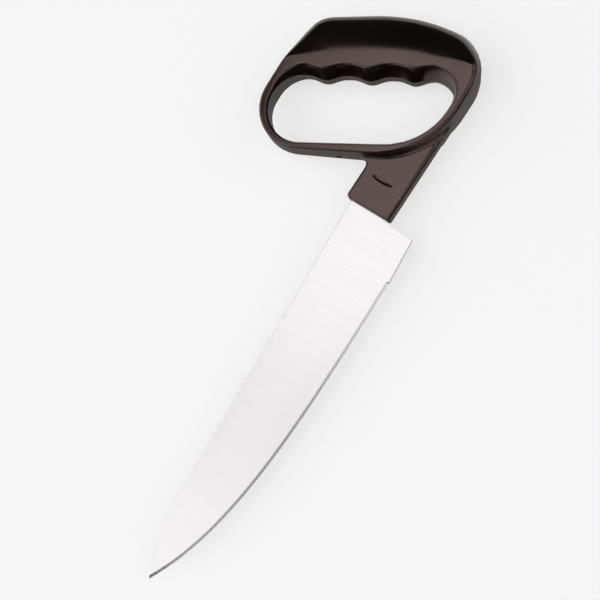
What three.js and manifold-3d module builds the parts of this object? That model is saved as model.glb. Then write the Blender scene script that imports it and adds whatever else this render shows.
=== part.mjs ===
// A loop-handled kitchen knife: a ground steel blade whose tang is locked between two moulded handle halves.
// Millimetres. X runs along the collar towards the tip, Y from the spine towards the cutting edge, and Z out
// of the blade's side. The pieces are drawn from the point where the spine meets the collar, on the blade's
// mid-plane.
import * as THREE from "three";
import { mergeVertices } from "three/addons/utils/BufferGeometryUtils.js";
import Module from "manifold-3d";

const wasm = await Module();
wasm.setup();

// Blade
const BLADE_LENGTH = 210; // collar to tip
const BLADE_THICKNESS = 2; // at the spine by the collar, and all over the tang
const HEEL_HEIGHT = 37.2; // spine to edge at the heel
const HEEL_GAP = 1.4; // collar to the square end of the heel
const SPINE_SLOPE = THREE.MathUtils.degToRad(2.84); // the straight spine falls towards the edge
const SPINE_STRAIGHT = 166; // collar to the start of the drop to the tip
const SPINE_DROP_LEAD = 21; // how far the spine's line carries into that drop
const TIP_DROP = 19.2; // tip below the spine's root
const EDGE_START = 26; // collar to the start of the sharpened edge
const EDGE_START_DEPTH = 38.7; // edge below the spine's root there
const EDGE_RISE = THREE.MathUtils.degToRad(1.4); // the edge still falls away from the spine there
const EDGE_LEAD = 85; // how far the edge runs nearly straight
const TIP_ANGLE = THREE.MathUtils.degToRad(28); // edge against the collar's axis at the tip
const TIP_LEAD = 46; // length of the belly that follows that angle
const RICASSO_STEP = 0.4; // the blunt edge by the heel stands proud of the sharpened one
const EDGE_THICKNESS = 0.9; // left behind the bevel at the heel
const TIP_THICKNESS = 0.85;
const BEVEL_WIDTH = 1.35;
const RICASSO_BEVEL = 0.6; // narrow bevel along the blunt edge
const EDGE_LAND = 0.1; // flat left on the cutting edge itself

// Tang, hidden in the collar
const TANG_LENGTH = 25;
const TANG_WALL = 4; // plastic left on each side of the tang
const SHOULDER_GAP = 0.3; // blade's shoulders to the collar's front
const KEY_LENGTH = 10; // slot across the tang that a rib of the handle fills
const KEY_WIDTH = 3.2;
const KEY_SETBACK = 15.6; // collar's front to the slot's middle
const PIN_DIAMETER = 3;
const PIN_LENGTH = 6.4;
const PIN_FORE_SETBACK = 7.5; // collar's front to each pin
const PIN_AFT_SETBACK = 21.5;
const CLEARANCE = 0.3; // round the tang and the key rib
const FIT = 0.15; // round the pins and on the tang's faces

// Collar
const COLLAR_WIDTH = 26;
const COLLAR_THICKNESS = 8;
const COLLAR_SHOULDER = 3.2; // collar beyond the spine's root
const COLLAR_ROUND = 1.3; // rounding of its edges
const COLLAR_NEAR_ROUND = { width: 2.4, drop: 3 }; // fuller along the near side
const COLLAR_CORNER = 2; // rounding of its front corners, in plan
const COLLAR_WEB = 4.5; // inside radius where the collar meets the bar
const COVE_WIDTH = 3; // hollow sweep from the collar's face up to the loop
const COVE_HEIGHT = 1.9;
const COVE_END = 2.5; // rounding of the cove's end, over the collar's side
const SINK_LENGTH = 15; // shallow sink mark over the key rib
const SINK_WIDTH = 2.6;
const SINK_DEPTH = 0.3;

// Loop
const HANDLE_LENGTH = 100.7; // collar's front to the butt
const LOOP_REACH = 69.9; // loop beyond the spine's root, away from the edge
const GRIP_RAKE = THREE.MathUtils.degToRad(28.2); // finger wall and the bar's inside lean back from square
const BAR_RAKE = THREE.MathUtils.degToRad(25.8); // the bar's outside, so the bar thins away from the collar
const PALM_RAKE = THREE.MathUtils.degToRad(30.5);
const PALM_FOOT = 71.5; // collar's front to where the palm's line meets the loop's far end
const BAR_SETBACK = 23; // spine's root to the bar's outer face
const BAR_WIDTH = 5.1; // where it leaves the collar
const FAR_END_WIDTH = 5.1; // loop wall at the end away from the edge
const NEAR_END_WIDTH = 5.2; // loop wall above the collar
const HOLE_DEPTH = 36.4; // bar to the bottoms of the finger grooves
const LOOP_THICKNESS = 11.4; // between the side faces, level with the collar's front
const SIDE_TAPER = THREE.MathUtils.degToRad(4); // each side face widens towards the butt
const SEAM_LAND = 0.6; // straight wall left beside the seam between the halves
const FINGER_LAND = 3; // the same in the hole
const FACE_ARC_RADIUS = 256; // the side faces end on this arc, and the palm rounds down from it
const FACE_ARC_SETBACK = 24.9; // the palm's outermost corner to the arc
const FACE_ARC_RAKE = THREE.MathUtils.degToRad(22.2);

// Corner radii in plan, outside and inside, and the rounding of the face's edge before and after each corner
const BUTT_CORNER = { radius: 24, edges: [4.2, 4.2] };
const PALM_BEND = { radius: 99, edges: [3, 3] };
const PALM_CORNER = { radius: 17.7, edges: [3, 1.5] };
const KNUCKLE_CORNER = { radius: 22, edges: [1.5, 1.3] };
const COLLAR_BEND = { radius: 46, edges: [1.3, 3.2] };
const FINGER_CROWN = 5.5; // how far the finger wall swells from the face to the seam
const HOLE_BUTT_CORNER = { radius: 11, edges: [1.4, FINGER_CROWN] };
const HOLE_PALM_CORNER = { radius: 17, edges: [FINGER_CROWN, 1.7] };
const HOLE_KNUCKLE_CORNER = { radius: 17.5, edges: [1.3, 1.2] };
const HOLE_COLLAR_BEND = { radius: 36, edges: [1.2, 1.3] };
const CROWN_SLOPE = THREE.MathUtils.degToRad(62); // a rounding in the hole turns this far from the face
const CROWN_LIP = { width: 0.36, drop: 0.15 }; // over this share of it, and then runs straight to the wall
const FULL_ROUND = 13; // an outer edge rounded at least this wide runs right down to the seam

// Finger ridges between the four grooves
const RIDGE_COUNT = 3;
const RIDGE_PITCH = 22.7;
const RIDGE_HEIGHT = 2.6;
const RIDGE_MIDDLE = 4.1; // middle ridge along the grip, from the spine's root
const RIDGE_SHARPNESS = 1.5;
const RIDGE_FADE = 0.55; // share of a ridge that dies out within the crown

// Hollow inside the grip, and the gate mark on the rear half's bar
const GRIP_WALL = 3;
const CORE_LEAST_WIDTH = 18; // the hollow stops where the grip narrows to this
const GATE_DIAMETER = 1.9;
const GATE_DEPTH = 0.5;
const GATE_ALONG = -9.4; // along the bar, from the spine's root
const GATE_BELOW = 3.5; // behind the seam

// Facets
const FINGER_STATIONS = 32;
const BAR_STATIONS = 4; // in each half of the bar
const FAN_STATIONS = 36;
const SKIN_STEPS = { inner: 6, outer: 11 };
const CORE_STEPS = { inner: 2, outer: 4 };
const CORE_STRIDE = 3; // the hollow follows every third station
const ARC_STEPS = 24;
const COLLAR_ARC_STEPS = 6;
const EDGE_STEPS = 28;
const BEYOND = 5; // how far a cutting solid runs past what it cuts

const handleBlack = { color: 0x0d0b0b, roughness: 0.22, metalness: 0 };
const bladeSteel = { color: 0xdcdad8, roughness: 0.3, metalness: 1 };
const pinSteel = { color: 0xa9a8a6, roughness: 0.35, metalness: 1 };

// Solids

// A closed geometry as a solid that can be joined and cut.
function solidOf(geometry) {
  const bare = new THREE.BufferGeometry().setAttribute("position", geometry.getAttribute("position"));
  bare.setIndex(geometry.index);
  const merged = mergeVertices(bare, 1e-4);
  const vertProperties = new Float32Array(merged.getAttribute("position").array);
  const triVerts = new Uint32Array(merged.index.array);
  return new wasm.Manifold(new wasm.Mesh({ numProp: 3, vertProperties, triVerts }));
}

function geometryOf(solid) {
  const made = solid.getMesh();
  const geometry = new THREE.BufferGeometry();
  geometry.setAttribute("position", new THREE.BufferAttribute(made.vertProperties, 3));
  geometry.setIndex(new THREE.BufferAttribute(made.triVerts, 1));
  return geometry;
}

// A skin through rings of equally many points, closed on itself or capped at both ends.
function loft(rings, closed) {
  const size = rings[0].length;
  const index = [];
  const spans = closed ? rings.length : rings.length - 1;
  for (let i = 0; i < spans; i++) {
    const here = i * size;
    const next = ((i + 1) % rings.length) * size;
    for (let j = 0; j < size; j++) {
      const k = (j + 1) % size;
      index.push(here + j, next + k, next + j, here + j, here + k, next + k);
    }
  }
  if (!closed) {
    const last = (rings.length - 1) * size;
    for (let j = 1; j + 1 < size; j++) {
      index.push(0, j + 1, j, last, last + j, last + j + 1);
    }
  }
  const geometry = new THREE.BufferGeometry().setFromPoints(rings.flat());
  geometry.setIndex(index);
  return solidOf(geometry);
}

// A plan outline between two heights.
function prism(shape, low, high) {
  const geometry = new THREE.ExtrudeGeometry(shape, { depth: high - low, bevelEnabled: false });
  return solidOf(geometry.translate(0, 0, low));
}

function upright(radius, height, x, y) {
  const geometry = new THREE.CylinderGeometry(radius, radius, height, 24).rotateX(Math.PI / 2);
  return geometry.translate(x, y, 0);
}

// Plan outlines

const point = (x, y) => new THREE.Vector2(x, y);

// The line of points p with normal . p = offset, and where two such lines cross.
const line = (normal, offset) => ({ normal, offset });
function meet(a, b) {
  const scale = a.normal.cross(b.normal);
  const x = (a.offset * b.normal.y - b.offset * a.normal.y) / scale;
  const y = (b.offset * a.normal.x - a.offset * b.normal.x) / scale;
  return point(x, y);
}

// A closed outline whose corners are rounded in plan. Each point carries the rounding of the face's edge
// there.
function roundedOutline(corners, steps) {
  return corners.flatMap(({ at, radius = 0, edges = [0, 0] }, i) => {
    if (radius === 0) return [{ at, edge: edges[0] }];
    const toBefore = corners.at(i - 1).at.clone().sub(at).normalize();
    const toAfter = corners[(i + 1) % corners.length].at.clone().sub(at).normalize();
    const half = Math.acos(toBefore.dot(toAfter)) / 2;
    const centre = toBefore.clone().add(toAfter).setLength(radius / Math.sin(half)).add(at);
    const start = toBefore.clone().multiplyScalar(radius / Math.tan(half)).add(at).sub(centre);
    const turn = Math.sign(toAfter.cross(toBefore)) * (Math.PI - 2 * half);
    return Array.from({ length: steps + 1 }, (_, step) => {
      const share = step / steps;
      const onArc = start.clone().rotateAround(point(0, 0), turn * share).add(centre);
      return { at: onArc, edge: THREE.MathUtils.lerp(edges[0], edges[1], share) };
    });
  });
}

// How far a ray runs before it leaves an outline, and the rounding of the face's edge there.
function reach(outline, from, direction) {
  const found = { distance: 0, edge: 0 };
  outline.forEach((start, i) => {
    const end = outline[(i + 1) % outline.length];
    const side = end.at.clone().sub(start.at);
    const gap = start.at.clone().sub(from);
    const scale = direction.cross(side);
    const distance = gap.cross(side) / scale;
    const share = gap.cross(direction) / scale;
    if (distance > found.distance && share >= 0 && share <= 1) {
      found.distance = distance;
      found.edge = THREE.MathUtils.lerp(start.edge, end.edge, share);
    }
  });
  return found;
}

// Blade

const spineDirection = point(Math.cos(SPINE_SLOPE), Math.sin(SPINE_SLOPE));
const onSpine = (x) => point(x, x * Math.tan(SPINE_SLOPE));
const tip = point(BLADE_LENGTH, TIP_DROP);
const collarNear = COLLAR_WIDTH - COLLAR_SHOULDER; // the collar's side below the cutting edge
const tangTop = TANG_WALL - COLLAR_SHOULDER;
const tangBottom = collarNear - TANG_WALL;
const collarMiddle = (tangTop + tangBottom) / 2;

const spineTurn = onSpine(SPINE_STRAIGHT);
const spineDrop = new THREE.QuadraticBezierCurve(
  spineTurn,
  spineDirection.clone().multiplyScalar(SPINE_DROP_LEAD).add(spineTurn),
  tip,
);
const edgeStart = point(EDGE_START, EDGE_START_DEPTH);
const edgeCurve = new THREE.CubicBezierCurve(
  edgeStart,
  point(Math.cos(EDGE_RISE), Math.sin(EDGE_RISE)).multiplyScalar(EDGE_LEAD).add(edgeStart),
  point(-Math.cos(TIP_ANGLE), Math.sin(TIP_ANGLE)).multiplyScalar(TIP_LEAD).add(tip),
  tip,
);
const heel = point(HEEL_GAP, HEEL_HEIGHT);
const ricassoEnd = point(EDGE_START - RICASSO_STEP * 2, EDGE_START_DEPTH + RICASSO_STEP);
const edge = [heel, ricassoEnd, ...edgeCurve.getPoints(EDGE_STEPS)];

function bladeOutline() {
  const shape = new THREE.Shape();
  shape.moveTo(-TANG_LENGTH, tangTop);
  shape.lineTo(SHOULDER_GAP, tangTop);
  shape.lineTo(SHOULDER_GAP, onSpine(SHOULDER_GAP).y);
  spineDrop.getPoints(EDGE_STEPS / 2).forEach((p) => shape.lineTo(p.x, p.y));
  edge.toReversed().slice(1).forEach((p) => shape.lineTo(p.x, p.y));
  shape.lineTo(HEEL_GAP, collarNear + HEEL_GAP);
  shape.lineTo(SHOULDER_GAP, collarNear);
  shape.lineTo(SHOULDER_GAP, tangBottom);
  shape.lineTo(-TANG_LENGTH, tangBottom);
  shape.closePath();
  return shape;
}

// A slot across the tang, grown or shrunk all round.
function keySlot(growth) {
  const slot = new THREE.Path();
  const radius = KEY_WIDTH / 2 + growth;
  const bend = (KEY_LENGTH - KEY_WIDTH) / 2;
  slot.absarc(-KEY_SETBACK, collarMiddle + bend, radius, 0, Math.PI);
  slot.absarc(-KEY_SETBACK, collarMiddle - bend, radius, Math.PI, 2 * Math.PI);
  return slot;
}

// Each side is ground to one plane, from full thickness at the spine's root to thin at the heel and the tip.
const fallAcross = (BLADE_THICKNESS - EDGE_THICKNESS) / 2 / HEEL_HEIGHT;
const fallAlong = ((BLADE_THICKNESS - TIP_THICKNESS) / 2 - fallAcross * TIP_DROP) / BLADE_LENGTH;
const groundSide = (p) => BLADE_THICKNESS / 2 - fallAcross * p.y - fallAlong * p.x;

// What the grinding takes off one side: a slab above the ground plane.
function grindWaste() {
  const top = BLADE_THICKNESS;
  const rings = [HEEL_GAP / 2, BLADE_LENGTH + BEYOND].map((x) => {
    const near = point(x, -BEYOND);
    const far = point(x, EDGE_START_DEPTH + BEYOND);
    return [
      new THREE.Vector3(x, near.y, groundSide(near)),
      new THREE.Vector3(x, far.y, groundSide(far)),
      new THREE.Vector3(x, far.y, top),
      new THREE.Vector3(x, near.y, top),
    ];
  });
  return loft(rings, false);
}

// What the sharpening takes off one side: a wedge along the edge, narrow beside the heel.
function bevelWaste() {
  const rings = edge.map((p, i) => {
    const before = edge[Math.max(i - 1, 0)];
    const after = edge[Math.min(i + 1, edge.length - 1)];
    const along = after.clone().sub(before).normalize();
    const inward = point(along.y, -along.x);
    const width = i < 2 ? RICASSO_BEVEL : BEVEL_WIDTH;
    const place = p.clone();
    if (i === 0) place.addScaledVector(along, -BEYOND);
    if (i === edge.length - 1) place.addScaledVector(along, BEYOND);
    const shoulder = place.clone().addScaledVector(inward, width);
    const outside = place.clone().addScaledVector(inward, -BEYOND);
    const high = groundSide(shoulder);
    const low = high - ((high - EDGE_LAND / 2) * (width + BEYOND)) / width;
    return [
      new THREE.Vector3(shoulder.x, shoulder.y, high),
      new THREE.Vector3(outside.x, outside.y, low),
      new THREE.Vector3(outside.x, outside.y, BLADE_THICKNESS),
      new THREE.Vector3(shoulder.x, shoulder.y, BLADE_THICKNESS),
    ];
  });
  return loft(rings, false);
}

const handMirror = new THREE.Matrix4().makeScale(1, 1, -1);

// The same solid on the other side of the blade's mid-plane.
function otherSide(solid) {
  const geometry = geometryOf(solid).applyMatrix4(handMirror);
  geometry.setIndex([...geometry.index.array].reverse());
  return solidOf(geometry);
}

const pinPlaces = { fore: -PIN_FORE_SETBACK, aft: -PIN_AFT_SETBACK };

function makeBlade() {
  const outline = bladeOutline();
  outline.holes.push(keySlot(0));
  let blade = prism(outline, -BLADE_THICKNESS / 2, BLADE_THICKNESS / 2);
  const wastes = [grindWaste(), bevelWaste()];
  wastes.push(...wastes.map(otherSide));
  for (const waste of wastes) blade = blade.subtract(waste);
  for (const x of Object.values(pinPlaces)) {
    const hole = upright(PIN_DIAMETER / 2 + FIT, BLADE_THICKNESS + BEYOND, x, collarMiddle);
    blade = blade.subtract(solidOf(hole));
  }
  return geometryOf(blade);
}

// Loop

const square = point(Math.cos(GRIP_RAKE), Math.sin(GRIP_RAKE)); // across the grip, from the palm to the bar
const along = point(-Math.sin(GRIP_RAKE), Math.cos(GRIP_RAKE)); // along the grip, towards the cutting edge
const across = point(0, 1);

const nearEnd = line(across, collarNear);
const farEnd = line(across, -LOOP_REACH);
const butt = line(point(1, 0), -HANDLE_LENGTH);
const palmNormal = point(Math.cos(PALM_RAKE), Math.sin(PALM_RAKE));
const palm = line(palmNormal, palmNormal.dot(point(-PALM_FOOT, -LOOP_REACH)));
const barOuter = line(point(Math.cos(BAR_RAKE), Math.sin(BAR_RAKE)), -BAR_SETBACK);
const webCorner = meet(barOuter, line(across, -COLLAR_SHOULDER));
const barInner = line(square, square.dot(webCorner) - BAR_WIDTH);
const fingerWall = line(square, barInner.offset - HOLE_DEPTH);
const holeNear = line(across, nearEnd.offset - NEAR_END_WIDTH);
const holeFar = line(across, farEnd.offset + FAR_END_WIDTH);

const outerOutline = roundedOutline([
  { at: meet(nearEnd, butt), ...BUTT_CORNER },
  { at: meet(butt, palm), ...PALM_BEND },
  { at: meet(palm, farEnd), ...PALM_CORNER },
  { at: meet(farEnd, barOuter), ...KNUCKLE_CORNER },
  { at: meet(barOuter, nearEnd), ...COLLAR_BEND },
], ARC_STEPS);
const holeOutline = roundedOutline([
  { at: meet(holeNear, fingerWall), ...HOLE_BUTT_CORNER },
  { at: meet(fingerWall, holeFar), ...HOLE_PALM_CORNER },
  { at: meet(holeFar, barInner), ...HOLE_KNUCKLE_CORNER },
  { at: meet(barInner, holeNear), ...HOLE_COLLAR_BEND },
], ARC_STEPS);

// How far a ray runs before it leaves the flat of the side face towards the palm.
const palmCorner = meet(butt, palm);
const toArcCentre = point(FACE_ARC_SETBACK + FACE_ARC_RADIUS, 0).rotateAround(point(0, 0), FACE_ARC_RAKE);
const faceArcCentre = palmCorner.clone().add(toArcCentre);
function reachOfFace(from, direction) {
  const gap = from.clone().sub(faceArcCentre);
  const ahead = gap.dot(direction);
  return Math.sqrt(ahead ** 2 - gap.lengthSq() + FACE_ARC_RADIUS ** 2) - ahead;
}

// Height of the finger ridges at a place along the grip.
function ridgeHeight(place) {
  const turns = (place - RIDGE_MIDDLE) / RIDGE_PITCH;
  if (Math.abs(turns) > RIDGE_COUNT / 2) return 0;
  return RIDGE_HEIGHT * ((1 + Math.cos(2 * Math.PI * turns)) / 2) ** RIDGE_SHARPNESS;
}

// The loop is lofted through sections on rays: square to the grip between two points inside the hole, and
// fanned out round each of them. The ring starts at the middle of the bar.
const holeMiddle = line(square, (barInner.offset + fingerWall.offset) / 2);
const nearFocus = meet(holeMiddle, line(across, holeNear.offset - HOLE_DEPTH / 2));
const farFocus = meet(holeMiddle, line(across, holeFar.offset + HOLE_DEPTH / 2));

function makeStations() {
  const rays = [];
  const run = (from, to, count, direction) => {
    for (let i = 0; i < count; i++) {
      rays.push({ from: from.clone().lerp(to, i / count), direction: direction.clone() });
    }
  };
  const fan = (from, start) => {
    for (let i = 0; i < FAN_STATIONS; i++) {
      const turned = start.clone().rotateAround(point(0, 0), (Math.PI * i) / FAN_STATIONS);
      rays.push({ from, direction: turned });
    }
  };
  const barMiddle = nearFocus.clone().lerp(farFocus, 0.5);
  const toPalm = square.clone().negate();
  run(barMiddle, nearFocus, BAR_STATIONS, square);
  fan(nearFocus, square);
  run(nearFocus, farFocus, FINGER_STATIONS, toPalm);
  fan(farFocus, toPalm);
  run(farFocus, barMiddle, BAR_STATIONS, square);
  return rays.map(({ from, direction }) => {
    const inner = reach(holeOutline, from, direction);
    const outer = reach(outerOutline, from, direction);
    const lean = -direction.dot(square);
    if (lean > 0.5) {
      const foot = from.clone().addScaledVector(direction, inner.distance);
      const ridge = ridgeHeight(foot.dot(along)) / lean;
      inner.distance -= ridge;
      inner.edge += RIDGE_FADE * ridge;
    }
    outer.edge = Math.max(outer.edge, outer.distance - reachOfFace(from, direction));
    return { from, direction, inner, outer };
  });
}

const stations = makeStations();
const onRay = ({ from, direction }, distance) => from.clone().addScaledVector(direction, distance);
const sideFace = (p) => LOOP_THICKNESS / 2 - Math.tan(SIDE_TAPER) * p.x;

// Half a section of the loop, from the seam over the side face and back to the seam. An inset leaves a wall.
function halfSection(station, inset, seam, steps) {
  const place = (distance, drop, least) => {
    const p = onRay(station, distance);
    return new THREE.Vector3(p.x, p.y, Math.max(sideFace(p) - inset - drop, least));
  };
  const rounding = (width, full, p, land) => {
    const most = sideFace(p) - inset - land;
    return Math.min(Math.max(width, (most * width) / full), most);
  };
  const near = station.inner.distance + inset;
  const far = station.outer.distance - inset;
  const innerWidth = Math.max(station.inner.edge - inset, SEAM_LAND);
  const outerWidth = Math.max(station.outer.edge - inset, SEAM_LAND);
  const innerDrop = rounding(innerWidth, FINGER_CROWN - inset, onRay(station, near), FINGER_LAND);
  const outerDrop = rounding(outerWidth, FULL_ROUND - inset, onRay(station, far), SEAM_LAND);
  const ring = [place(near, innerDrop, SEAM_LAND)];
  for (let i = 1; i <= steps.inner; i++) {
    const turn = (CROWN_SLOPE * (steps.inner - i)) / (steps.inner - 1);
    const back = (CROWN_LIP.width * Math.sin(turn)) / Math.sin(CROWN_SLOPE);
    const drop = (CROWN_LIP.drop * (1 - Math.cos(turn))) / (1 - Math.cos(CROWN_SLOPE));
    ring.push(place(near + innerWidth * (1 - back), innerDrop * drop, SEAM_LAND));
  }
  for (let i = steps.outer; i >= 0; i--) {
    const turn = ((Math.PI / 2) * i) / steps.outer;
    ring.push(place(far - outerWidth * (1 - Math.cos(turn)), outerDrop * (1 - Math.sin(turn)), SEAM_LAND));
  }
  const foot = (distance) => new THREE.Vector3(...onRay(station, distance).toArray(), seam);
  return [foot(near), ...ring, foot(far)];
}

// Collar, joined to the loop by a web in plan and a cove up to its rim

const collarStations = stations.slice(0, BAR_STATIONS + FAN_STATIONS).filter((station) => {
  const p = onRay(station, station.outer.distance);
  return p.y > -COLLAR_SHOULDER - 3 * COLLAR_WEB && p.x > meet(barOuter, nearEnd).x - COLLAR_BEND.radius / 2;
});

function collarOutline() {
  const inBand = collarStations.map((station) => {
    const { inner, outer } = station;
    return onRay(station, THREE.MathUtils.lerp(inner.distance, outer.distance, 0.3));
  });
  const first = collarStations[0];
  const corners = [
    { at: point(0, -COLLAR_SHOULDER), radius: COLLAR_CORNER },
    { at: point(0, collarNear), radius: COLLAR_CORNER },
    { at: point(inBand.at(-1).x, collarNear) },
    ...inBand.toReversed().map((at) => ({ at })),
    { at: onRay(first, first.outer.distance) },
    { at: webCorner, radius: COLLAR_WEB },
  ];
  return new THREE.Shape(roundedOutline(corners, COLLAR_ARC_STEPS).map((p) => p.at));
}

function makeCollar() {
  const outline = collarOutline();
  const bar = new THREE.ExtrudeGeometry(outline, {
    depth: COLLAR_THICKNESS - 2 * COLLAR_ROUND,
    bevelThickness: COLLAR_ROUND,
    bevelSize: COLLAR_ROUND,
    bevelOffset: -COLLAR_ROUND,
    bevelSegments: 4,
  });
  const whole = solidOf(bar.translate(0, 0, COLLAR_ROUND - COLLAR_THICKNESS / 2));
  const face = COLLAR_THICKNESS / 2;
  const rings = collarStations.map((station) => {
    const rim = station.outer.distance;
    const at = (distance, z) => new THREE.Vector3(...onRay(station, distance).toArray(), z);
    const sweep = Array.from({ length: COLLAR_ARC_STEPS + 1 }, (_, i) => {
      const turn = ((Math.PI / 2) * i) / COLLAR_ARC_STEPS;
      return at(rim + COVE_WIDTH * (1 - Math.cos(turn)), face + COVE_HEIGHT * (1 - Math.sin(turn)));
    });
    const back = rim - BAR_WIDTH / 2;
    return [at(back, 0), at(back, face + COVE_HEIGHT), ...sweep, at(rim + COVE_WIDTH, 0)];
  });
  const coveRoom = roomWithin(COVE_END, COLLAR_ROUND + COVE_HEIGHT, face + COVE_HEIGHT);
  const cove = loft(rings, false).intersect(prism(outline, 0, COLLAR_THICKNESS)).intersect(coveRoom);
  return whole.intersect(roomWithin(COLLAR_NEAR_ROUND.width, COLLAR_NEAR_ROUND.drop, face)).add(cove);
}

// The room over the seam and inside the collar's near side, up to a height, with its near edge rounded off.
function roomWithin(width, drop, top) {
  const rings = [-HANDLE_LENGTH, BEYOND].map((x) => {
    const at = (y, z) => new THREE.Vector3(x, y, z);
    const edge = Array.from({ length: COLLAR_ARC_STEPS + 1 }, (_, i) => {
      const turn = ((Math.PI / 2) * i) / COLLAR_ARC_STEPS;
      return at(collarNear - width * (1 - Math.cos(turn)), top - drop * (1 - Math.sin(turn)));
    });
    return [at(-LOOP_REACH, 0), at(collarNear, 0), ...edge, at(-LOOP_REACH, top)];
  });
  return loft(rings, false);
}

// Handle halves

function tangPocket() {
  const shape = new THREE.Shape();
  shape.moveTo(-TANG_LENGTH - CLEARANCE, tangTop - CLEARANCE);
  shape.lineTo(BEYOND, tangTop - CLEARANCE);
  shape.lineTo(BEYOND, tangBottom + CLEARANCE);
  shape.lineTo(-TANG_LENGTH - CLEARANCE, tangBottom + CLEARANCE);
  shape.closePath();
  shape.holes.push(keySlot(-CLEARANCE));
  return prism(shape, -BEYOND, BLADE_THICKNESS / 2 + FIT);
}

function makeHalf() {
  let half = loft(stations.map((s) => halfSection(s, 0, 0, SKIN_STEPS)), true).add(makeCollar());
  const grip = stations.filter((s) => s.outer.distance - s.inner.distance > CORE_LEAST_WIDTH);
  const coreStations = grip.filter((_, i) => i % CORE_STRIDE === 0);
  half = half.subtract(loft(coreStations.map((s) => halfSection(s, GRIP_WALL, -BEYOND, CORE_STEPS)), false));
  half = half.subtract(tangPocket());
  for (const x of Object.values(pinPlaces)) {
    half = half.subtract(solidOf(upright(PIN_DIAMETER / 2 + FIT, PIN_LENGTH + 2 * FIT, x, collarMiddle)));
  }
  return half.subtract(sinkMark());
}

// The sink mark is the foot of a long ball that dips into the collar's face.
function sinkMark() {
  const radius = ((SINK_WIDTH / 2) ** 2 + SINK_DEPTH ** 2) / (2 * SINK_DEPTH);
  const ball = new THREE.SphereGeometry(radius, 32, 36).rotateX(Math.PI / 2);
  ball.scale(1, SINK_LENGTH / SINK_WIDTH, 1);
  return solidOf(ball.translate(-KEY_SETBACK, collarMiddle, COLLAR_THICKNESS / 2 + radius - SINK_DEPTH));
}

// The gate mark: a shallow round recess in the bar's outer face, behind the seam.
function gateMark() {
  const onBar = line(along, GATE_ALONG);
  const place = meet(barOuter, onBar);
  const geometry = new THREE.CylinderGeometry(GATE_DIAMETER / 2, GATE_DIAMETER / 2, 2 * GATE_DEPTH, 16);
  geometry.rotateZ(BAR_RAKE - Math.PI / 2);
  return solidOf(geometry.translate(place.x, place.y, -GATE_BELOW));
}

// Assembly

function piece(name, geometry, finish) {
  geometry.computeVertexNormals();
  const mesh = new THREE.Mesh(geometry, new THREE.MeshStandardMaterial(finish));
  mesh.name = name;
  return mesh;
}

const frontHalf = makeHalf();
const rearHalf = otherSide(frontHalf).subtract(gateMark());
const assembly = new THREE.Group();
assembly.add(piece("blade", makeBlade(), bladeSteel));
assembly.add(piece("handle_front_half", geometryOf(frontHalf), handleBlack));
assembly.add(piece("handle_rear_half", geometryOf(rearHalf), handleBlack));
for (const [name, x] of Object.entries(pinPlaces)) {
  assembly.add(piece(`tang_pin_${name}`, upright(PIN_DIAMETER / 2, PIN_LENGTH, x, collarMiddle), pinSteel));
}

// The finished knife lies on its side, with its origin under the middle of its box.
const box = new THREE.Box3().setFromObject(assembly);
const middle = box.getCenter(new THREE.Vector3());
assembly.position.set(-middle.x, -middle.y, -box.min.z);
const knife = new THREE.Group();
knife.add(assembly);

export default knife;
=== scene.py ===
import math
import bmesh
import bpy
from mathutils import Matrix, Quaternion, Vector


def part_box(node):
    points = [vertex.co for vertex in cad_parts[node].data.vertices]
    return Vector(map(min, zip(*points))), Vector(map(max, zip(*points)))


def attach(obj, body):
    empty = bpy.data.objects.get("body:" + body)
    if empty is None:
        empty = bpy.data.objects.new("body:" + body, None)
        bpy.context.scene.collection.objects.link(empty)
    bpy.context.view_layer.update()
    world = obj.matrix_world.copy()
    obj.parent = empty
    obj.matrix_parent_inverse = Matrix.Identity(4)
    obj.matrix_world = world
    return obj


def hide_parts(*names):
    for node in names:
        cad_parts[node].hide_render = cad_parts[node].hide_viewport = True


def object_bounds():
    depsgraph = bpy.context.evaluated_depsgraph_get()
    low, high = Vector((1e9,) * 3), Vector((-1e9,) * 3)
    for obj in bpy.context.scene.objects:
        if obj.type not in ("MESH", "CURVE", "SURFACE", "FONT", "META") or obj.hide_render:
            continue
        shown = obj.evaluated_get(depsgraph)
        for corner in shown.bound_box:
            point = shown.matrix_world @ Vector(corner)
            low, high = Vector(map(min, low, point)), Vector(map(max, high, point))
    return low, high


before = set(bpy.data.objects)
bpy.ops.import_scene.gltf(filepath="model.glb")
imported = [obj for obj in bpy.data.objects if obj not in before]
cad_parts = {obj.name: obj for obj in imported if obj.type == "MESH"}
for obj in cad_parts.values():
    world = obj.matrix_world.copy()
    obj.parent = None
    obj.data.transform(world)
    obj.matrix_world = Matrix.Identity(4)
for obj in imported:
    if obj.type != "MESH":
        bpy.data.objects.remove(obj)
cad_box = [list(corner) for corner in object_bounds()]

# Camera
# It stands where the photograph was taken from: over the blade, leaning a little towards the cutting edge
# and turned so that the tip points down to the left. The image is square, on a sensor 36 mm wide.
camera_data = bpy.data.cameras.new("photo_camera")
camera_data.sensor_width = 36
camera_data.lens = 78.5
camera = bpy.data.objects.new("photo_camera", camera_data)
bpy.context.scene.collection.objects.link(camera)
camera_place = Vector((0.0383, 0.1926, 0.6361))
camera_aim = Vector((0.0013, 0.0208, 0.0117))
image_up = Vector((-0.8344, -0.5169, 0.1916))
backward = (camera_place - camera_aim).normalized()
rightward = image_up.cross(backward).normalized()
upward = backward.cross(rightward)
camera_turn = Matrix((rightward, upward, backward)).transposed().to_4x4()
camera.matrix_world = Matrix.Translation(camera_place) @ camera_turn
bpy.context.scene.camera = camera

# Blade
# A blank stamped from stainless sheet, ground flat on both sides from the spine to the edge and then
# sharpened. Its tang runs on into the collar, where the moulding holds it.


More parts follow.
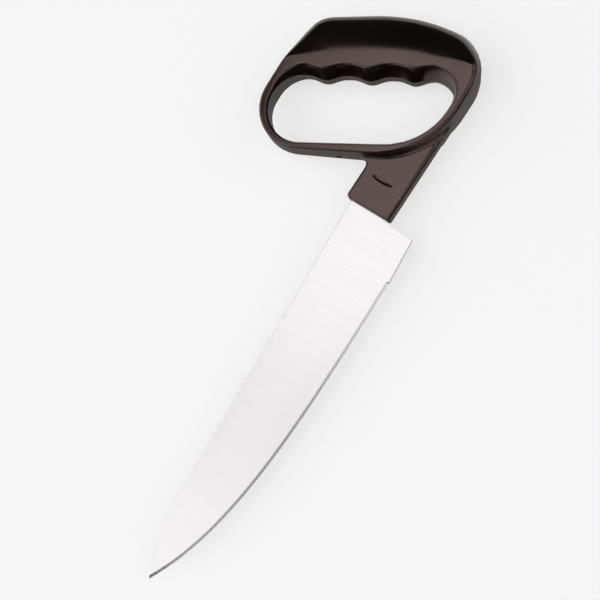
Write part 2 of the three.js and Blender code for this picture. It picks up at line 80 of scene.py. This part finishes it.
# Turns a colour as it is seen on a screen into linear light.
def linear(hex_colour):
    channels = [int(hex_colour[i:i + 2], 16) / 255 for i in (1, 3, 5)]
    return [c / 12.92 if c <= 0.04045 else ((c + 0.055) / 1.055) ** 2.4 for c in channels] + [1.0]


# Adds a node. A setting is the node's own property where it has one of that name, and otherwise the value of
# an input.
def add_node(tree, kind, settings, links):
    node = tree.nodes.new(kind)
    for key, value in settings.items():
        if isinstance(key, str) and hasattr(node, key):
            setattr(node, key, value)
        else:
            node.inputs[key].default_value = value
    for key, source in links.items():
        tree.links.new(source, node.inputs[key])
    return node


# Steel with the marks of one working direction, whose length along each axis is given. They shade its tone
# and its gloss between two values, and lie in its surface.
def worked_steel(name, mark_size, tones, gloss, relief):
    mark_range = (0.3, 0.7)
    steel = bpy.data.materials.new(name)
    steel.use_nodes = True
    tree = steel.node_tree
    shader = tree.nodes["Principled BSDF"]
    shader.inputs["Metallic"].default_value = 1.0
    place = add_node(tree, "ShaderNodeTexCoord", {}, {})
    stretch = add_node(tree, "ShaderNodeMapping", {"Scale": [1 / size for size in mark_size]},
                       {"Vector": place.outputs["Object"]})
    marks = add_node(tree, "ShaderNodeTexNoise", {"Scale": 1.0, "Detail": 3.0, "Roughness": 0.6},
                     {"Vector": stretch.outputs["Vector"]})
    tone = add_node(tree, "ShaderNodeValToRGB", {}, {"Fac": marks.outputs["Fac"]})
    for element, position, hex_colour in zip(tone.color_ramp.elements, mark_range, tones):
        element.position = position
        element.color = linear(hex_colour)
    roughness = add_node(tree, "ShaderNodeMapRange",
                         {"From Min": mark_range[0], "From Max": mark_range[1],
                          "To Min": gloss[0], "To Max": gloss[1]},
                         {"Value": marks.outputs["Fac"]})
    bump = add_node(tree, "ShaderNodeBump", {"Strength": 0.5, "Distance": relief},
                    {"Height": marks.outputs["Fac"]})
    tree.links.new(tone.outputs["Color"], shader.inputs["Base Color"])
    tree.links.new(roughness.outputs["Result"], shader.inputs["Roughness"])
    tree.links.new(bump.outputs["Normal"], shader.inputs["Normal"])
    return steel


# A new piece from a CAD node, whose loose triangles are joined where their points meet.
def merged_copy(name, node_name):
    join_gap = 0.000002
    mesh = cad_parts[node_name].data.copy()
    mesh.name = name
    mesh.materials.clear()
    shape = bmesh.new()
    shape.from_mesh(mesh)
    bmesh.ops.remove_doubles(shape, verts=shape.verts, dist=join_gap)
    shape.to_mesh(mesh)
    shape.free()
    piece = bpy.data.objects.new(name, mesh)
    bpy.context.scene.collection.objects.link(piece)
    return piece


# Stainless steel, flat-ground on a wet belt: the marks run square to the edge and give a pale satin sheen.
# Real marks are a tenth of a millimetre apart, too fine to show, so they are drawn 0.9 mm apart and faint.
satin_steel = worked_steel("satin_ground_stainless", (0.0009, 0.05, 0.05), ("#c4c2c3", "#c6c4c5"),
                           (0.245, 0.235), 0.0000001)
# The sharpened bevel is the same steel, honed on a finer wheel: greyer than the sides, with short marks
# across it. They too are finer on a real blade, and are drawn 0.6 mm apart.
honed_steel = worked_steel("honed_stainless_edge", (0.0006, 0.003, 0.003), ("#bebdbc", "#c8c7c6"),
                           (0.3, 0.24), 0.000001)

blade = merged_copy("ground_blade", "blade")
blade.data.materials.append(satin_steel)
blade.data.materials.append(honed_steel)

# A face is told by how level it lies, from 0 for an upright one to 1. The sharpened bevel gets the honed
# steel.
same_plane = math.radians(0.2)
bevel_level = (0.7, 0.995)
shape = bmesh.new()
shape.from_mesh(blade.data)
bmesh.ops.dissolve_limit(shape, angle_limit=same_plane, verts=shape.verts, edges=shape.edges)
shape.normal_update()
for face in shape.faces:
    face.material_index = 1 if bevel_level[0] < abs(face.normal.z) < bevel_level[1] else 0

# The stamped edges between the sides and the upright rim are deburred, from just outside the collar to short
# of the thin tip.
rim_level = 0.2
side_level = 0.99
collar_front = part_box("handle_front_half")[1][0]
collar_gap = 0.0012
tip_gap = 0.006
deburr = 0.00012
blade_crease = math.radians(2)
stamped_edges = []
for edge in shape.edges:
    middle = (edge.verts[0].co + edge.verts[1].co) / 2
    levels = sorted(abs(face.normal.z) for face in edge.link_faces)
    if collar_front + collar_gap < middle.x < cad_box[1][0] - tip_gap and edge.is_convex:
        if levels[0] < rim_level and levels[1] > side_level:
            stamped_edges.append(edge)
bmesh.ops.bevel(shape, geom=stamped_edges, offset=deburr, offset_type="OFFSET", affect="EDGES", segments=2,
                profile=0.5, material=-1)
shape.to_mesh(blade.data)
shape.free()
blade.data.shade_smooth()
blade.data.set_sharp_from_angle(angle=blade_crease)
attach(blade, "root")
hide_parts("blade")

# Tang pins
# Two short pins of drawn steel wire, cut to length. They are pressed through the tang into both halves of
# the collar, and nothing of them shows outside.

# Stainless wire, drawn through a die: its fine rings run round the pin and give a duller sheen than the
# blade's. They are shown 0.3 mm apart, coarser than real ones.
pin_steel = worked_steel("drawn_stainless_wire", (0.004, 0.004, 0.0003), ("#a3a19f", "#b0aeac"),
                         (0.4, 0.3), 0.000004)
for place_on_tang in ("fore", "aft"):
    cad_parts[f"tang_pin_{place_on_tang}"].material_slots[0].material = pin_steel

# Handle halves
# Two black thermoplastic mouldings, joined on the blade's mid-plane. Their polished mould leaves a gloss,
# and the seam shows as a fine line along the outer wall.

# Brown-black moulded plastic with a polished skin: near black where it faces the dark, with a warm grey
# sheen where it faces a light. The mould leaves a slight ripple, and handling a patchy gloss. The upright
# walls are matt, from a mould that is left rough there. A fine groove follows the seam.
patch_size = 0.03
patch_range = (0.35, 0.65)
patch_tones = ("#060404", "#0a0706")
ripple_size = 0.007
polish = (0.14, 0.19)
# The walls are told by how level the surface lies: they begin at the first value and are full at the second.
wall_levels = (0.45, 0.15)
wall_roughening = 0.45
seam_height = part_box("handle_front_half")[0][2]
seam_half_width = 0.00025
seam_depth = 0.0001
gloss_black = bpy.data.materials.new("gloss_black_moulded_plastic")
gloss_black.use_nodes = True
black_tree = gloss_black.node_tree
black_shader = black_tree.nodes["Principled BSDF"]
black_shader.inputs["IOR"].default_value = 1.66
black_shader.inputs["Specular Tint"].default_value = linear("#ffdcd2")
black_place = add_node(black_tree, "ShaderNodeTexCoord", {}, {})
patches = add_node(black_tree, "ShaderNodeTexNoise", {"Scale": 1 / patch_size, "Detail": 3.0},
                   {"Vector": black_place.outputs["Object"]})
black_tone = add_node(black_tree, "ShaderNodeValToRGB", {}, {"Fac": patches.outputs["Fac"]})
for element, position, hex_colour in zip(black_tone.color_ramp.elements, patch_range, patch_tones):
    element.position = position
    element.color = linear(hex_colour)
polished = add_node(black_tree, "ShaderNodeMapRange",
                    {"From Min": patch_range[0], "From Max": patch_range[1],
                     "To Min": polish[0], "To Max": polish[1]},
                    {"Value": patches.outputs["Fac"]})
black_surface = add_node(black_tree, "ShaderNodeNewGeometry", {}, {})
black_facing = add_node(black_tree, "ShaderNodeSeparateXYZ", {}, {"Vector": black_surface.outputs["Normal"]})
level = add_node(black_tree, "ShaderNodeMath", {"operation": "ABSOLUTE"}, {0: black_facing.outputs["Z"]})
upright = add_node(black_tree, "ShaderNodeMapRange",
                   {"From Min": wall_levels[0], "From Max": wall_levels[1],
                    "To Min": 0.0, "To Max": wall_roughening},
                   {"Value": level.outputs["Value"]})
black_gloss = add_node(black_tree, "ShaderNodeMath", {"operation": "ADD"},
                       {0: polished.outputs["Result"], 1: upright.outputs["Result"]})
ripples = add_node(black_tree, "ShaderNodeTexNoise", {"Scale": 1 / ripple_size, "Detail": 1.0},
                   {"Vector": black_place.outputs["Object"]})
ripple_relief = add_node(black_tree, "ShaderNodeBump", {"Strength": 0.3, "Distance": 0.00006},
                         {"Height": ripples.outputs["Fac"]})
black_axes = add_node(black_tree, "ShaderNodeSeparateXYZ", {}, {"Vector": black_place.outputs["Object"]})
above_seam = add_node(black_tree, "ShaderNodeMath", {"operation": "SUBTRACT", 1: seam_height},
                      {0: black_axes.outputs["Z"]})
from_seam = add_node(black_tree, "ShaderNodeMath", {"operation": "ABSOLUTE"},
                     {0: above_seam.outputs["Value"]})
seam_groove = add_node(black_tree, "ShaderNodeMapRange", {"From Min": 0.0, "From Max": seam_half_width},
                       {"Value": from_seam.outputs["Value"]})
seam_relief = add_node(black_tree, "ShaderNodeBump", {"Strength": 1.0, "Distance": seam_depth},
                       {"Height": seam_groove.outputs["Result"], "Normal": ripple_relief.outputs["Normal"]})
black_tree.links.new(black_tone.outputs["Color"], black_shader.inputs["Base Color"])
black_tree.links.new(black_gloss.outputs["Value"], black_shader.inputs["Roughness"])
black_tree.links.new(seam_relief.outputs["Normal"], black_shader.inputs["Normal"])

# The scar of the moulding gate: the same plastic, torn and not polished, so it stays dull and dark.
scar_grain = 0.0004
gate_scar = bpy.data.materials.new("torn_plastic_gate_scar")
gate_scar.use_nodes = True
scar_tree = gate_scar.node_tree
scar_shader = scar_tree.nodes["Principled BSDF"]
scar_shader.inputs["Base Color"].default_value = linear("#080605")
scar_place = add_node(scar_tree, "ShaderNodeTexCoord", {}, {})
tears = add_node(scar_tree, "ShaderNodeTexNoise", {"Scale": 1 / scar_grain, "Detail": 2.0},
                 {"Vector": scar_place.outputs["Object"]})
scar_gloss = add_node(scar_tree, "ShaderNodeMapRange", {"To Min": 0.6, "To Max": 0.9},
                      {"Value": tears.outputs["Fac"]})
scar_relief = add_node(scar_tree, "ShaderNodeBump", {"Strength": 0.8, "Distance": 0.0002},
                       {"Height": tears.outputs["Fac"]})
scar_tree.links.new(scar_gloss.outputs["Result"], scar_shader.inputs["Roughness"])
scar_tree.links.new(scar_relief.outputs["Normal"], scar_shader.inputs["Normal"])

# Where the palm's broad rounding runs out into the narrow edges of the arms, at either end of the grip, the
# mould is eased: the facets there are halved and smoothed, most in the middle, short of the side face and of
# the seam. Each end is a place on the outline and a reach round it.
hole_middle = Vector((-0.093, -0.008))
palm_ends = [(Vector((-0.15, 0.025)), 0.026), (Vector((-0.108, -0.053)), 0.019)]
side_slope = math.radians(4)
side_tolerance = math.radians(0.3)
easing_shares = (1.0, 0.9, 0.8, 0.7)
easing_passes = 4
eased_from_seam = 0.0003


# The points of the rounding near one palm end, without those in the side face or nearer to the seam than the
# gap.
def rounded_verts(shape, centre, reach, facing, seam_gap):
    side_normal = Vector((math.sin(side_slope), 0, math.cos(side_slope) * facing))
    found = []
    for vert in shape.verts:
        if (vert.co.xy - centre).length > reach or abs(vert.co.z - seam_height) < seam_gap:
            continue
        outside = vert.normal.xy.dot(vert.co.xy - hole_middle) > 0
        if outside and all(face.normal.angle(side_normal) > side_tolerance for face in vert.link_faces):
            found.append(vert)
    return found


# The outline's sharpest turn, at the butt, is rounded off: points nearer to it than its reach move in, the
# nearest most, and those deeper in the grip less.
butt_turn = Vector((-0.15535, 0.02039))
butt_inward = Vector((0.961, -0.275))
butt_reach = 0.006
butt_depth = 0.01
butt_half_turn = math.radians(15.5)


def round_butt_turn(verts):
    for vert in verts:
        offset = vert.co.xy - butt_turn
        near = max(0, butt_reach - abs(offset.cross(butt_inward)))
        outer = max(0, 1 - max(0, offset.dot(butt_inward)) / butt_depth)
        vert.co.xy += butt_inward * outer * near ** 2 * math.tan(butt_half_turn) / (2 * butt_reach)


def ease_palm_ends(shape, facing):
    for centre, reach in palm_ends:
        verts = set(rounded_verts(shape, centre, reach, facing, seam_gap=0))
        edges = [edge for edge in shape.edges if verts.issuperset(edge.verts)]
        bmesh.ops.subdivide_edges(shape, edges=edges, cuts=1)
        shape.normal_update()
        round_butt_turn(rounded_verts(shape, centre, reach, facing, seam_gap=0))
        for share in easing_shares:
            verts = rounded_verts(shape, centre, reach * share, facing, seam_gap=eased_from_seam)
            for _ in range(easing_passes):
                bmesh.ops.smooth_vert(shape, verts=verts, factor=0.5,
                                      use_axis_x=True, use_axis_y=True, use_axis_z=True)
    bmesh.ops.triangulate(shape, faces=[face for face in shape.faces if len(face.verts) > 3])


# The gate's scar is in the bar's outer wall, on one half only. It is drawn larger than in the solid.
gate_place = Vector((-0.07084, -0.00418, 0.00824))
gate_reach = 0.0012
gate_growth = 1.6


def widen_gate_scar(shape):
    gate_verts = {vert for vert in shape.verts if (vert.co - gate_place).length < gate_reach}
    for face in shape.faces:
        if gate_verts.issuperset(face.verts):
            face.material_index = 1
    bmesh.ops.scale(shape, vec=[gate_growth] * 3, space=Matrix.Translation(-gate_place),
                    verts=list(gate_verts))


# The plastic sinks in a short line over the rib inside the collar. From its inner end, the line is drawn
# shorter, a little wider and deeper than in the solid.
collar_half = 0.004
sink_end = (-0.07025, 0.0175)
sink_half_width = 0.0014
sink_span = (-0.0001, 0.0152)
sink_depth_limit = 0.0004
sink_growth = (1.15, 0.83, 2.0)


def deepen_sink_mark(shape, facing):
    inner_end = Vector((*sink_end, seam_height + facing * collar_half))
    marked = []
    for vert in shape.verts:
        across, along, below = vert.co - inner_end
        in_line = abs(across) < sink_half_width and sink_span[0] < along < sink_span[1]
        if in_line and abs(below) < sink_depth_limit:
            marked.append(vert)
    bmesh.ops.scale(shape, vec=sink_growth, space=Matrix.Translation(-inner_end), verts=marked)


# Each half is shaped on its own. Its flat faces then keep their own shading, and only the roundings blend.
crease_angle = math.radians(25)
for side, facing in (("front", 1), ("rear", -1)):
    half = merged_copy(f"{side}_moulding", f"handle_{side}_half")
    half.data.materials.append(gloss_black)
    half.data.materials.append(gate_scar)
    shape = bmesh.new()
    shape.from_mesh(half.data)
    ease_palm_ends(shape, facing)
    widen_gate_scar(shape)
    deepen_sink_mark(shape, facing)
    shape.to_mesh(half.data)
    shape.free()
    half.data.shade_smooth()
    half.data.set_sharp_from_angle(angle=crease_angle)
    flat_faces = half.modifiers.new("flat_faces", "WEIGHTED_NORMAL")
    flat_faces.keep_sharp = True
    flat_faces.weight = 100
    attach(half, "root")
    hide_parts(f"handle_{side}_half")

# Floor and light
# A white table, under four softboxes that hang 1.2 m above it. Three large panels stand round the knife,
# where the blade mirrors them in views from low down. Beyond them the studio is dim.

# Matt white paint, rolled on: an even white with no gloss. To the camera and in mirror images it is partly
# white by its own glow, so that it stays pale and keeps the knife's shadow.
table_half = 12
paint_glow = 0.65
floor_mesh = bpy.data.meshes.new("white_table")
floor_shape = bmesh.new()
bmesh.ops.create_grid(floor_shape, x_segments=1, y_segments=1, size=table_half)
floor_shape.to_mesh(floor_mesh)
floor_shape.free()
floor = bpy.data.objects.new("white_table", floor_mesh)
bpy.context.scene.collection.objects.link(floor)
white_paint = bpy.data.materials.new("matt_white_table")
white_paint.use_nodes = True
paint_tree = white_paint.node_tree
paint_tree.nodes.remove(paint_tree.nodes["Principled BSDF"])
paint = add_node(paint_tree, "ShaderNodeBsdfDiffuse", {"Color": linear("#fcfcfc")}, {})
glow = add_node(paint_tree, "ShaderNodeEmission", {"Strength": 1.0}, {})
ray = add_node(paint_tree, "ShaderNodeLightPath", {}, {})
seen_or_mirrored = add_node(paint_tree, "ShaderNodeMath", {"operation": "ADD"},
                            {0: ray.outputs["Is Camera Ray"], 1: ray.outputs["Is Glossy Ray"]})
seen = add_node(paint_tree, "ShaderNodeMath", {"operation": "ADD", "use_clamp": True},
                {0: seen_or_mirrored.outputs["Value"], 1: ray.outputs["Is Transmission Ray"]})
glow_share = add_node(paint_tree, "ShaderNodeMath", {"operation": "MULTIPLY", 1: paint_glow},
                      {0: seen.outputs["Value"]})
lit_paint = add_node(paint_tree, "ShaderNodeMixShader", {},
                     {0: glow_share.outputs["Value"], 1: paint.outputs["BSDF"], 2: glow.outputs["Emission"]})
paint_tree.links.new(lit_paint.outputs["Shader"], paint_tree.nodes["Material Output"].inputs["Surface"])
floor_mesh.materials.append(white_paint)


# A rectangular area lamp. Its watts are four times its radiance, which is 1 for white, times its area.
def soft_light(name, place, aim, size, radiance, turn=0):
    data = bpy.data.lights.new(name, "AREA")
    data.shape = "RECTANGLE"
    data.size, data.size_y = size
    data.energy = 4 * radiance * size[0] * size[1]
    lamp = bpy.data.objects.new(name, data)
    bpy.context.scene.collection.objects.link(lamp)
    lamp.location = place
    pointing = (Vector(aim) - Vector(place)).to_track_quat("-Z", "Y")
    lamp.rotation_euler = (pointing @ Quaternion((0, 0, 1), math.radians(turn))).to_euler()


grip_turn = -58
soft_light("handle_softbox", (-0.216, -0.2205, 1.2), (-0.216, -0.2205, 0), (0.545, 0.5), 1.5, grip_turn)
soft_light("blade_softbox", (0.374, -0.22, 1.2), (0.374, -0.22, 0), (0.53, 0.5), 1.38, grip_turn)
soft_light("edge_softbox", (0.125, 0.45, 1.2), (0.125, 0.45, 0), (0.85, 0.34), 1.15)
soft_light("butt_softbox", (-0.435, 0.7, 1.2), (-0.435, 0.7, 0), (0.63, 0.5), 1.0)
soft_light("edge_side_panel", (0.334, 1.338, 1.157), (0, 0, 0), (1.38, 1.6), 0.5)
soft_light("spine_side_panel", (1.0, -1.05, 1.1), (0, 0, 0), (3.8, 1.7), 1.2)
soft_light("butt_side_panel", (-1.0, 1.0, 0.85), (0, 0, 0), (1.6, 1.0), 0.8)

studio_tone = 0.045
world = bpy.data.worlds.new("dim_studio")
bpy.context.scene.world = world
world.use_nodes = True
studio = world.node_tree.nodes["Background"]
studio.inputs["Color"].default_value = (studio_tone, studio_tone, studio_tone, 1)
bpy.context.scene.view_settings.view_transform = "Standard"
